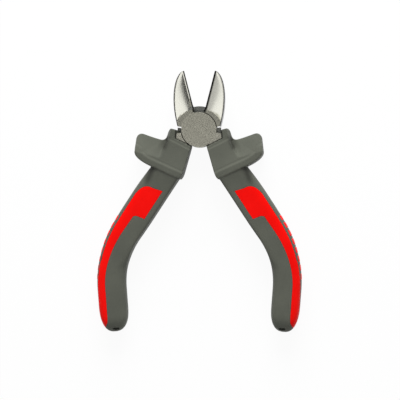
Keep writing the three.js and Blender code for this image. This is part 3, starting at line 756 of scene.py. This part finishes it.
def jaw_height(from_edge, past, front):
    """Height of the jaw's face: a cutting bevel, a hollow-ground face and the sloping root behind it."""
    back = np.maximum(jaw_back(past), TINY)
    share = np.clip((past - GRIND_RADIUS) / (JAW_REACH - GRIND_RADIUS), 0, 1)
    back_height = lerp(JAW_BACK_ROOT, JAW_BACK_TIP, share) / 2
    bevel_width = np.minimum(EDGE_BEVEL_WIDTH, back / 2)
    bevel = lerp(EDGE_LAND, EDGE_BEVEL_THICKNESS, np.clip(from_edge / bevel_width, 0, 1)) / 2
    behind = np.clip((from_edge - bevel_width) / (back - bevel_width), 0, 1)
    ground = bevel + (back_height - EDGE_BEVEL_THICKNESS / 2) * behind**GRIND_HOLLOW
    return np.minimum(common(ground, root_height(from_edge, past, front), ROOT_BLEND), HALF_JOINT)


def jaw(x, y, z, front):
    shoulder_x, shoulder_y = polar(1, 90 - SHOULDER_ANGLE)
    before, after = y - SLOPE_STEP, y + SLOPE_STEP
    slope = (jaw_back(after) - jaw_back(before)) / (2 * SLOPE_STEP)
    back = (-x - jaw_back(y)) / np.hypot(1, slope)
    rise = (jaw_height(-x, after, front) - jaw_height(-x, before, front)) / (2 * SLOPE_STEP)
    face = (np.abs(z) - jaw_height(-x, y, front)) / np.hypot(FACE_STEEPNESS, rise)
    rounded = common(face, back, JAW_BACK_ROUND)
    shoulder = -(x * shoulder_x + y * shoulder_y)
    return deepest(rounded, x + EDGE_CLEARANCE, shoulder, y - JAW_REACH + JAW_TIP_FLAT)


def disc(x, y, z):
    return deepest(common(np.hypot(x, y) - DISC_RADIUS, z - HALF_JOINT, RIM_ROUND), HALF_LAP - z)


def rivet_bore(x, y, z):
    """The rivet's bore, countersunk at the rear and blind at the front."""
    countersink = RIVET_HEAD_RADIUS - (z + HALF_JOINT - RIVET_HEAD_LAND) * (
        (RIVET_HEAD_RADIUS - RIVET_RADIUS) / RIVET_HEAD_DEPTH
    )
    profile = np.clip(countersink, RIVET_RADIUS, RIVET_HEAD_RADIUS) + RIVET_CLEARANCE
    return deepest(np.hypot(x, y) - profile, z - (HALF_JOINT - RIVET_END_WALL + RIVET_CLEARANCE))


def stop(x, y, z, gap):
    """Block on the neck that stops the other half's shoulder."""
    return sector(
        x, y, z, JOIN_RADIUS, STOP_RADIUS + gap, -SHOULDER_ANGLE - JOIN_ANGLE, -STOP_ANGLE,
        HALF_LAP - gap, HALF_LAP + STOP_THICKNESS + gap,
    )


def forged_half(x, y, z, front):
    """One forged half: jaw, disc on the +Z side of the lap, neck and tang."""
    along, out = spine_place(x, y)
    lap = deepest(np.hypot(x, y) - LAP_RADIUS, z - HALF_LAP)
    half = deepest(nearest(jaw(x, y, z, front), neck(x, y, z, 0), tang(along, out, z, 0)), -lap)
    return nearest(half, disc(x, y, z), stop(x, y, z, 0))


def front_forging(x, y, z):
    """Front half, with the slot for the other half's throat web and the rivet's blind bore."""
    low = -HALF_LAP - WEB_THICKNESS - RIM_GAP
    slot = sector(
        x, y, z, JOIN_RADIUS, WEB_RADIUS + RIM_GAP, 90, 90 + WEB_ANGLE + WEB_CLEARANCE, low, HALF_LAP,
    )
    return deepest(forged_half(x, y, z, z > 0), -slot, -rivet_bore(x, y, z))


def rear_forging(x, y, z):
    """Rear half, with the throat web and the rivet's countersunk bore."""
    web = sector(
        x, y, z, JOIN_RADIUS, WEB_RADIUS, 90 - WEB_ANGLE, 90 + WEB_ROOT, HALF_LAP, HALF_LAP + WEB_THICKNESS,
    )
    return deepest(nearest(forged_half(x, y, z, z < 0), web), -rivet_bore(-x, y, -z))


# Pieces in the shared frame


def half_matrix(rear):
    """From one closed half, in millimetres, to the shared frame in metres."""
    turn = Matrix.Rotation(math.radians(-OPEN_HALF_ANGLE if rear else OPEN_HALF_ANGLE), 4, "Z")
    if rear:
        turn = turn @ Matrix.Rotation(math.pi, 4, "Y")
    return Matrix.Scale(MILLIMETRE, 4) @ Matrix.Translation((0, 0, -HALF_JOINT)) @ turn


def add_piece(node, vertices, faces, rear, material):
    """A mesh in place of a CAD node, riding on its body."""
    mesh = bpy.data.meshes.new(node)
    mesh.from_pydata(vertices, [], faces)
    mesh.transform(half_matrix(rear))
    mesh.validate()
    mesh.shade_smooth()
    mesh.set_sharp_from_angle(angle=math.radians(SHARP_ANGLE))
    mesh.materials.append(material)
    piece = bpy.data.objects.new(f"{node}_look", mesh)
    bpy.context.scene.collection.objects.link(piece)
    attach(piece, "rear_half" if rear else "front_half")
    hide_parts(node)
    return piece


def add_surface(node, surface, rear, material, **shares):
    """A contoured piece, with values at its vertices that its material reads."""
    vertices, faces = surface
    piece = add_piece(node, vertices.tolist(), faces.tolist(), rear, material)
    for name, share in shares.items():
        attribute = piece.data.attributes.new(name, "FLOAT", "POINT")
        attribute.data.foreach_set("value", share(*vertices.T).astype(float))


def grip_shade(x, y, z):
    """1 where shade is painted on the grey: in the corner between sleeve and wing and in the flute."""
    along, out = spine_place(x, y)
    corner = path_distance(x, y, [SHADE_TOP, SHADE_END]) / SHADE_WIDTH
    on_face = smoothstep(np.abs(z), SHADE_LOW, SHADE_HIGH)
    return np.maximum(np.exp(-(corner**2)), flute(along, out) * (y < GUARD_OUTER_Y)) * on_face


def rib_surface(index):
    x, y = beside_spine(RIB_TOP + index * RIB_PITCH, grip_half_width(RIB_TOP))
    low, high = (np.add((x, y, 0), corner) for corner in RIB_ROOM)
    return contour(rib(index), low, high, RIB_CELL)


def add_grips(grey, red):
    sides = (("right", False), ("left", True))
    body = contour(grip_body, *GRIP_ROOM, GRIP_CELL)
    strip = contour(inlay, *INLAY_ROOM, INLAY_CELL)
    for side, rear in sides:
        add_surface(f"{side}_grip_body", body, rear, grey, grip_shade=grip_shade)
        add_surface(f"{side}_grip_inlay", strip, rear, red)
    for index in range(RIB_COUNT):
        bar = rib_surface(index)
        for side, rear in sides:
            add_surface(f"{side}_grip_rib_{index + 1}", bar, rear, red)


def dark_skin(x, y, z):
    """1 on the jaw's dark back skin, a painted dark reflection at its edge and a painted shadow line round
    the neck.
    """
    back = 1 - smoothstep(jaw_back(y) + x, BACK_SKIN - SKIN_AND_PAINTED_DARK_FADE, BACK_SKIN + SKIN_AND_PAINTED_DARK_FADE)
    # Painted dark reflection along the cutting edge
    width = np.where(z > 0, EDGE_DARK_REFLECTION_UPPER, EDGE_DARK_REFLECTION_LOWER)
    edge = (1 - smoothstep(-x, width - SKIN_AND_PAINTED_DARK_FADE, width + SKIN_AND_PAINTED_DARK_FADE)) * (y > LAP_RADIUS)
    # Painted shadow line where the collar's lip and the ear meet the neck
    from_rim = nearest(path_distance(x, y, neck_outer_side()), np.abs(lip_y(x) - y))
    rim = 1 - smoothstep(from_rim, NECK_SHADOW_LINE - SKIN_AND_PAINTED_DARK_FADE, NECK_SHADOW_LINE + SKIN_AND_PAINTED_DARK_FADE)
    rim = rim * (np.hypot(x, y) > LAP_RADIUS)
    return np.where(x < 0, np.maximum(back * (y > 0), edge), rim * (y < 0))


def ground_face(x, y, z):
    """1 on the jaw's ground faces and its root's slope, 0 elsewhere and on a flat beside the upper edge."""
    below_face = smoothstep(HALF_JOINT - np.abs(z), GROUND_START, GROUND_FULL)
    flat_width = np.where(z > 0, EDGE_FLAT_WIDTH * (1 - (y - LAP_RADIUS) / EDGE_FLAT_RUN), 0)
    past_flat = smoothstep(-x - flat_width, -EDGE_FLAT_FADE, EDGE_FLAT_FADE)
    return below_face * past_flat * (x < 0) * (y > 0) * (np.hypot(x, y) > LAP_RADIUS)


def add_forging(node, field, rear, steel):
    surface = contour(field, *STEEL_ROOM, STEEL_CELL)
    add_surface(node, surface, rear, steel, dark_skin=dark_skin, ground_face=ground_face)


def turned(profile, sides):
    """Vertices and faces of a profile of radius and height that is turned about Z, axis to axis."""
    turns = np.arange(sides) * 2 * math.pi / sides
    vertices = [(0, 0, profile[0][1])]
    for radius, z in profile[1:-1]:
        vertices += [(radius * math.cos(turn), radius * math.sin(turn), z) for turn in turns]
    vertices.append((0, 0, profile[-1][1]))
    faces = []
    for ring in range(len(profile) - 3):
        for side in range(sides):
            here = 1 + ring * sides + side
            following = 1 + ring * sides + (side + 1) % sides
            faces.append((here, following, following + sides, here + sides))
    last = len(vertices) - 1
    for side in range(sides):
        following = (side + 1) % sides
        faces.append((0, 1 + following, 1 + side))
        faces.append((last, last - sides + side, last - sides + following))
    return vertices, faces


def add_rivet(steel):
    """Turned rivet: flush head at the rear with a fine ring and a softened rim, shank and blind end."""
    face = -HALF_JOINT
    end = HALF_JOINT - RIVET_END_WALL
    profile = [
        (0, face),
        (RIVET_RING_INNER, face),
        (RIVET_RING_INNER + RIVET_RING_DEPTH, face + RIVET_RING_DEPTH),
        (RIVET_RING_OUTER - RIVET_RING_DEPTH, face + RIVET_RING_DEPTH),
        (RIVET_RING_OUTER, face),
        (RIVET_HEAD_RADIUS - RIVET_RIM, face),
        (RIVET_HEAD_RADIUS, face + RIVET_RIM),
        (RIVET_HEAD_RADIUS, face + RIVET_HEAD_LAND),
        (RIVET_RADIUS, face + RIVET_HEAD_LAND + RIVET_HEAD_DEPTH),
        (RIVET_RADIUS, end - RIVET_END_CHAMFER),
        (RIVET_RADIUS - RIVET_END_CHAMFER, end),
        (0, end),
    ]
    add_piece("pivot_rivet", *turned(profile, RIVET_SIDES), False, steel)


# Colours as they show, 0 to 255, darker and lighter where there are two

GREY = ((82, 84, 76), (89, 91, 82))
GREY_SHADED = (58, 59, 53)
RED = ((232, 4, 0), (240, 9, 3))
DISC_STEEL = ((177, 175, 161), (203, 201, 186))
ROOT_STEEL = ((165, 164, 151), (186, 184, 170))
NECK_STEEL = ((186, 184, 170), (208, 206, 192))
GROUND_STEEL = ((236, 235, 223), (246, 245, 234))
# Darker steel deep in the joint: partly its unblasted finish, partly painted shade
RECESS_SHADE_AND_FINISH = (152, 153, 148)
# Dark skin on the jaws' backs, also used for painted dark reflection at the edges and painted shadow round
# the neck
SKIN_AND_PAINTED_DARK = (50, 50, 46)
RIVET_STEEL = ((150, 149, 140), (176, 175, 166))

# Noise per metre and its detail, and the range in which a noise mostly stays

GREY_GRAIN = (4200, 2)
GREY_CLOUDS = (90, 4)
RED_GRAIN = (3600, 2)
RED_CLOUDS = (120, 3)
STEEL_BLAST = (5200, 3)
STEEL_CLOUDS = (1500, 5)
GRIND_LINES = (700, 9000, 9000)
GRIND_DETAIL = 4
TURNING_RINGS = 9000
TURNING_DETAIL = 2
NOISE_LOW = 0.3
NOISE_HIGH = 0.7

# Finish: roughness from smooth to rough, gloss, and depth of the fine relief in millimetres

GREY_ROUGHNESS = (0.52, 0.66)
GREY_GLOSS = 0.3
GREY_RELIEF = 0.03
RED_ROUGHNESS = (0.42, 0.52)
RED_GLOSS = 0.15
RED_RELIEF = 0.015
BLAST_ROUGHNESS = (0.48, 0.62)
GROUND_ROUGHNESS = (0.17, 0.27)
STEEL_RELIEF = 0.04
GROUND_RELIEF_SHARE = 0.05
RIVET_ROUGHNESS = (0.28, 0.42)
RIVET_RELIEF = 0.01
FLOOR_ROUGHNESS = 0.9

# Materials


def srgb(red, green, blue):
    """Linear colour of a shown one."""
    shown = np.array([red, green, blue]) / 255
    linear = np.where(shown <= 0.04045, shown / 12.92, ((shown + 0.055) / 1.055) ** 2.4)
    return (*linear.tolist(), 1)


class Look:
    """A material's node tree, with short ways to add its nodes."""

    def __init__(self, name):
        self.material = bpy.data.materials.new(name)
        self.material.use_nodes = True
        self.tree = self.material.node_tree
        self.shader = self.tree.nodes["Principled BSDF"]
        self.place = self.add("ShaderNodeTexCoord").outputs["Object"]

    def add(self, kind, inputs=(), **settings):
        node = self.tree.nodes.new(kind)
        for setting, value in settings.items():
            setattr(node, setting, value)
        for name, value in dict(inputs).items():
            if isinstance(value, bpy.types.NodeSocket):
                self.tree.links.new(value, node.inputs[name])
            else:
                node.inputs[name].default_value = value
        return node

    def set(self, socket, value):
        self.shader.inputs[socket].default_value = value

    def link(self, value, socket):
        self.tree.links.new(value, self.shader.inputs[socket])

    def share(self, name):
        """A value stored at the mesh's vertices."""
        return self.add("ShaderNodeAttribute", attribute_name=name).outputs["Fac"]

    def place_and_radius(self):
        """The shaded point's coordinates, and its distance from the pivot's axis."""
        apart = self.add("ShaderNodeSeparateXYZ", {"Vector": self.place}).outputs
        flat = self.add("ShaderNodeCombineXYZ", {"X": apart["X"], "Y": apart["Y"]}).outputs["Vector"]
        return apart, self.add("ShaderNodeVectorMath", {0: flat}, operation="LENGTH").outputs["Value"]

    def noise(self, scale, detail, place=None):
        inputs = {"Vector": place or self.place, "Scale": scale, "Detail": detail}
        return self.add("ShaderNodeTexNoise", inputs).outputs["Fac"]

    def spread(self, value, low=0, high=1, from_low=NOISE_LOW, from_high=NOISE_HIGH):
        """A value, by default a noise, carried over to another range."""
        inputs = {"Value": value, "From Min": from_low, "From Max": from_high}
        inputs.update({"To Min": low, "To Max": high})
        return self.add("ShaderNodeMapRange", inputs).outputs["Result"]

    def reckon(self, operation, first, second):
        return self.add("ShaderNodeMath", {0: first, 1: second}, operation=operation).outputs[0]

    def blend(self, factor, low, high):
        """A number between two."""
        inputs = {"Factor": factor, "A": low, "B": high}
        return self.add("ShaderNodeMix", inputs, data_type="FLOAT").outputs["Result"]

    def shade(self, factor, low, high):
        """A colour between two."""
        node = self.add("ShaderNodeMix", {"Factor": factor}, data_type="RGBA")
        for name, colour in (("A", low), ("B", high)):
            socket = [item for item in node.inputs if item.name == name and item.type == "RGBA"][0]
            if isinstance(colour, bpy.types.NodeSocket):
                self.tree.links.new(colour, socket)
            else:
                socket.default_value = srgb(*colour)
        return [item for item in node.outputs if item.type == "RGBA"][0]

    def mottle(self, noise, colours):
        """Two colours mixed by a noise."""
        return self.shade(self.spread(noise), *colours)

    def bump(self, height, depth):
        """Fine relief, its depth in millimetres."""
        inputs = {"Height": height, "Distance": depth * MILLIMETRE}
        self.link(self.add("ShaderNodeBump", inputs).outputs["Normal"], "Normal")


def grey_look():
    """Matte grey moulding with a fine grain and a slight unevenness."""
    look = Look("grip_grey")
    grain = look.noise(*GREY_GRAIN)
    clean = look.mottle(look.noise(*GREY_CLOUDS), GREY)
    # Painted shade: the grey darkens in the corner between sleeve and wing and in the flute below the
    # guard.
    look.link(look.shade(look.share("grip_shade"), clean, GREY_SHADED), "Base Color")
    look.link(look.spread(grain, *GREY_ROUGHNESS), "Roughness")
    look.set("Specular IOR Level", GREY_GLOSS)
    look.bump(grain, GREY_RELIEF)
    return look.material


def red_look():
    """Satin red moulding, smoother than the grey one."""
    look = Look("grip_red")
    grain = look.noise(*RED_GRAIN)
    look.link(look.mottle(look.noise(*RED_CLOUDS), RED), "Base Color")
    look.link(look.spread(grain, *RED_ROUGHNESS), "Roughness")
    look.set("Specular IOR Level", RED_GLOSS)
    look.bump(grain, RED_RELIEF)
    return look.material


def blasted_colour(look, place, radius):
    """Blasted grey: the disc, and beyond it the jaw's root and the neck."""
    clouds = look.noise(*STEEL_CLOUDS)
    steels = (DISC_STEEL, ROOT_STEEL, NECK_STEEL)
    on_disc, on_root, on_neck = (look.mottle(clouds, steel) for steel in steels)
    jaw_side = look.spread(place["Y"], 0, 1, -SIDE_FADE * MILLIMETRE, SIDE_FADE * MILLIMETRE)
    beyond = look.spread(radius, 0, 1, DISC_RADIUS * MILLIMETRE, LAP_RADIUS * MILLIMETRE)
    return look.shade(beyond, on_disc, look.shade(jaw_side, on_neck, on_root))


def recess_shade_and_finish(look, place, radius):
    """1 deep in the joint, on the stops and the throat web: darker there, partly unblasted finish, partly
    painted shade.
    """
    level = look.reckon("ABSOLUTE", look.reckon("ADD", place["Z"], HALF_JOINT * MILLIMETRE), 0)
    deep = look.spread(level, 1, 0, RECESS_LOW * MILLIMETRE, RECESS_HIGH * MILLIMETRE)
    near = look.spread(radius, 1, 0, RECESS_RADIUS * MILLIMETRE, RECESS_END * MILLIMETRE)
    return look.reckon("MULTIPLY", deep, near)


def steel_look():
    """Forged steel: blasted grey at the joint, ground bright on the jaws, dark in the recesses by finish
    and painted shade.
    """
    look = Look("forged_steel")
    place, radius = look.place_and_radius()
    ground = look.share("ground_face")
    blast = look.noise(*STEEL_BLAST)
    along_x = look.add("ShaderNodeMapping", {"Vector": look.place, "Scale": GRIND_LINES})
    lines = look.noise(scale=1, detail=GRIND_DETAIL, place=along_x.outputs[0])
    recess = recess_shade_and_finish(look, place, radius)
    # Darker in the joint's recesses: partly the unblasted finish, partly painted shade
    forged = look.shade(recess, blasted_colour(look, place, radius), RECESS_SHADE_AND_FINISH)
    clean = look.shade(ground, forged, look.mottle(lines, GROUND_STEEL))
    # Dark skin on the jaws' backs, painted dark reflection at the cutting edges and a painted shadow line
    # round the neck
    look.link(look.shade(look.share("dark_skin"), clean, SKIN_AND_PAINTED_DARK), "Base Color")
    blast_roughness = look.spread(blast, *BLAST_ROUGHNESS)
    ground_roughness = look.spread(lines, *GROUND_ROUGHNESS)
    look.link(look.blend(ground, blast_roughness, ground_roughness), "Roughness")
    look.set("Metallic", 1)
    fine_lines = look.reckon("MULTIPLY", lines, GROUND_RELIEF_SHARE)
    look.bump(look.blend(ground, blast, fine_lines), STEEL_RELIEF)
    return look.material


def rivet_look():
    """Turned steel with fine rings."""
    look = Look("rivet_steel")
    _, radius = look.place_and_radius()
    across = look.reckon("MULTIPLY", radius, TURNING_RINGS)
    inputs = {"W": across, "Scale": 1, "Detail": TURNING_DETAIL}
    marks = look.add("ShaderNodeTexNoise", inputs, noise_dimensions="1D").outputs["Fac"]
    look.link(look.mottle(marks, RIVET_STEEL), "Base Color")
    look.link(look.spread(marks, *RIVET_ROUGHNESS), "Roughness")
    look.set("Metallic", 1)
    look.bump(marks, RIVET_RELIEF)
    return look.material


# Stage, in metres, watts and shares of white

PHOTO_PIXELS = 400
PIXEL = 0.42 * MILLIMETRE
SENSOR_WIDTH = 36
VIEW_CENTRE = Vector((0.23 * MILLIMETRE, -29.4 * MILLIMETRE, -HALF_JOINT * MILLIMETRE))
VIEW_DISTANCE = 0.95
VIEW_LEAN_RIGHT = 4.0
VIEW_LEAN_LOW = 0.5
LAMP_PLACE = (0, 0.88, 0.48)
LAMP_SIZE = 0.7
LAMP_POWER = 17
WORLD_LIGHT = 0.4
FLOOR_REACH = 3
FLOOR_SHADE = 0.9
FLOOR_GLOW = 0.94

# Cards that shiny steel mirrors: place, width, height and glow
CARDS = {
    "overhead_card": ((0.135, -0.03, 0.6), 1.2, 0.37, 0.06),
    "left_card": ((-0.285, -0.03, 0.55), 1.2, 0.31, 0.48),
    "upper_left_card": ((-0.06, 0.16, 0.02), 0.12, 0.06, 0.4),
    "low_left_card": ((-0.8, -0.03, 0.11), 1.2, 0.22, 0.05),
}


def add_camera():
    """Straight above the tool, leaning slightly to its right."""
    lens = bpy.data.cameras.new("camera")
    lens.sensor_width = lens.sensor_height = SENSOR_WIDTH
    lens.sensor_fit = "HORIZONTAL"
    lens.lens = SENSOR_WIDTH * VIEW_DISTANCE / (PHOTO_PIXELS * PIXEL)
    camera = bpy.data.objects.new("camera", lens)
    lean = Matrix.Rotation(math.radians(VIEW_LEAN_RIGHT), 4, "Y")
    lean = lean @ Matrix.Rotation(math.radians(VIEW_LEAN_LOW), 4, "X")
    camera.matrix_world = Matrix.Translation(VIEW_CENTRE) @ lean @ Matrix.Translation((0, 0, VIEW_DISTANCE))
    bpy.context.scene.collection.objects.link(camera)
    bpy.context.scene.camera = camera


def turn_to_tool(place):
    return (VIEW_CENTRE - Vector(place)).to_track_quat("-Z", "Y").to_euler()


def add_lamp():
    """Large soft lamp beyond the jaws, which reflections don't see."""
    lamp = bpy.data.lights.new("key_lamp", "AREA")
    lamp.size = LAMP_SIZE
    lamp.energy = LAMP_POWER
    holder = bpy.data.objects.new("key_lamp", lamp)
    holder.location = LAMP_PLACE
    holder.rotation_euler = turn_to_tool(LAMP_PLACE)
    holder.visible_glossy = False
    bpy.context.scene.collection.objects.link(holder)


def new_sheet(name, width, height):
    """Flat sheet with a material, and the material's node tree."""
    x, y = width / 2, height / 2
    mesh = bpy.data.meshes.new(name)
    mesh.from_pydata([(-x, -y, 0), (x, -y, 0), (x, y, 0), (-x, y, 0)], [], [(0, 1, 2, 3)])
    material = bpy.data.materials.new(name)
    material.use_nodes = True
    mesh.materials.append(material)
    sheet = bpy.data.objects.new(name, mesh)
    bpy.context.scene.collection.objects.link(sheet)
    return sheet, material.node_tree


def add_card(name, place, width, height, glow):
    """Card that only reflections see, facing the tool."""
    card, tree = new_sheet(name, width, height)
    light = tree.nodes.new("ShaderNodeEmission")
    light.inputs["Color"].default_value = (glow, glow, glow, 1)
    tree.links.new(light.outputs[0], tree.nodes["Material Output"].inputs["Surface"])
    card.location = place
    card.rotation_euler = turn_to_tool(place)
    card.visible_camera = False
    card.visible_diffuse = False
    card.visible_transmission = False
    card.visible_shadow = False


def background_rays(tree):
    """1 for rays from the camera, from shiny surfaces and through clear ones."""
    path = tree.nodes.new("ShaderNodeLightPath")
    result = path.outputs["Is Camera Ray"]
    for name in ("Is Glossy Ray", "Is Transmission Ray"):
        either = tree.nodes.new("ShaderNodeMath")
        either.operation = "MAXIMUM"
        tree.links.new(result, either.inputs[0])
        tree.links.new(path.outputs[name], either.inputs[1])
        result = either.outputs[0]
    return result


def add_floor():
    """Pale floor under the grips. It shows nearly white and keeps the tool's soft shadow."""
    floor, tree = new_sheet("floor", 2 * FLOOR_REACH, 2 * FLOOR_REACH)
    floor.location.z = min(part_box(node)[0].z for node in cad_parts)
    matte = tree.nodes["Principled BSDF"]
    matte.inputs["Base Color"].default_value = (FLOOR_SHADE, FLOOR_SHADE, FLOOR_SHADE, 1)
    matte.inputs["Roughness"].default_value = FLOOR_ROUGHNESS
    glow = tree.nodes.new("ShaderNodeEmission")
    mix = tree.nodes.new("ShaderNodeMixShader")
    share = tree.nodes.new("ShaderNodeMath")
    share.operation = "MULTIPLY"
    share.inputs[1].default_value = FLOOR_GLOW
    tree.links.new(background_rays(tree), share.inputs[0])
    tree.links.new(share.outputs[0], mix.inputs["Fac"])
    tree.links.new(matte.outputs[0], mix.inputs[1])
    tree.links.new(glow.outputs[0], mix.inputs[2])
    tree.links.new(mix.outputs[0], tree.nodes["Material Output"].inputs["Surface"])


def add_world():
    """White where it is seen, softer as light."""
    world = bpy.data.worlds.new("world")
    world.use_nodes = True
    tree = world.node_tree
    strength = tree.nodes.new("ShaderNodeMapRange")
    strength.inputs["To Min"].default_value = WORLD_LIGHT
    strength.inputs["To Max"].default_value = 1
    tree.links.new(background_rays(tree), strength.inputs["Value"])
    tree.nodes["Background"].inputs["Color"].default_value = (1, 1, 1, 1)
    tree.links.new(strength.outputs["Result"], tree.nodes["Background"].inputs["Strength"])
    bpy.context.scene.world = world


add_grips(grey_look(), red_look())
forged_steel = steel_look()
add_forging("front_half_forging", front_forging, False, forged_steel)
add_forging("rear_half_forging", rear_forging, True, forged_steel)
add_rivet(rivet_look())
add_camera()
add_floor()
add_world()
add_lamp()
for card_name, card_settings in CARDS.items():
    add_card(card_name, *card_settings)
bpy.context.scene.view_settings.view_transform = "Standard"
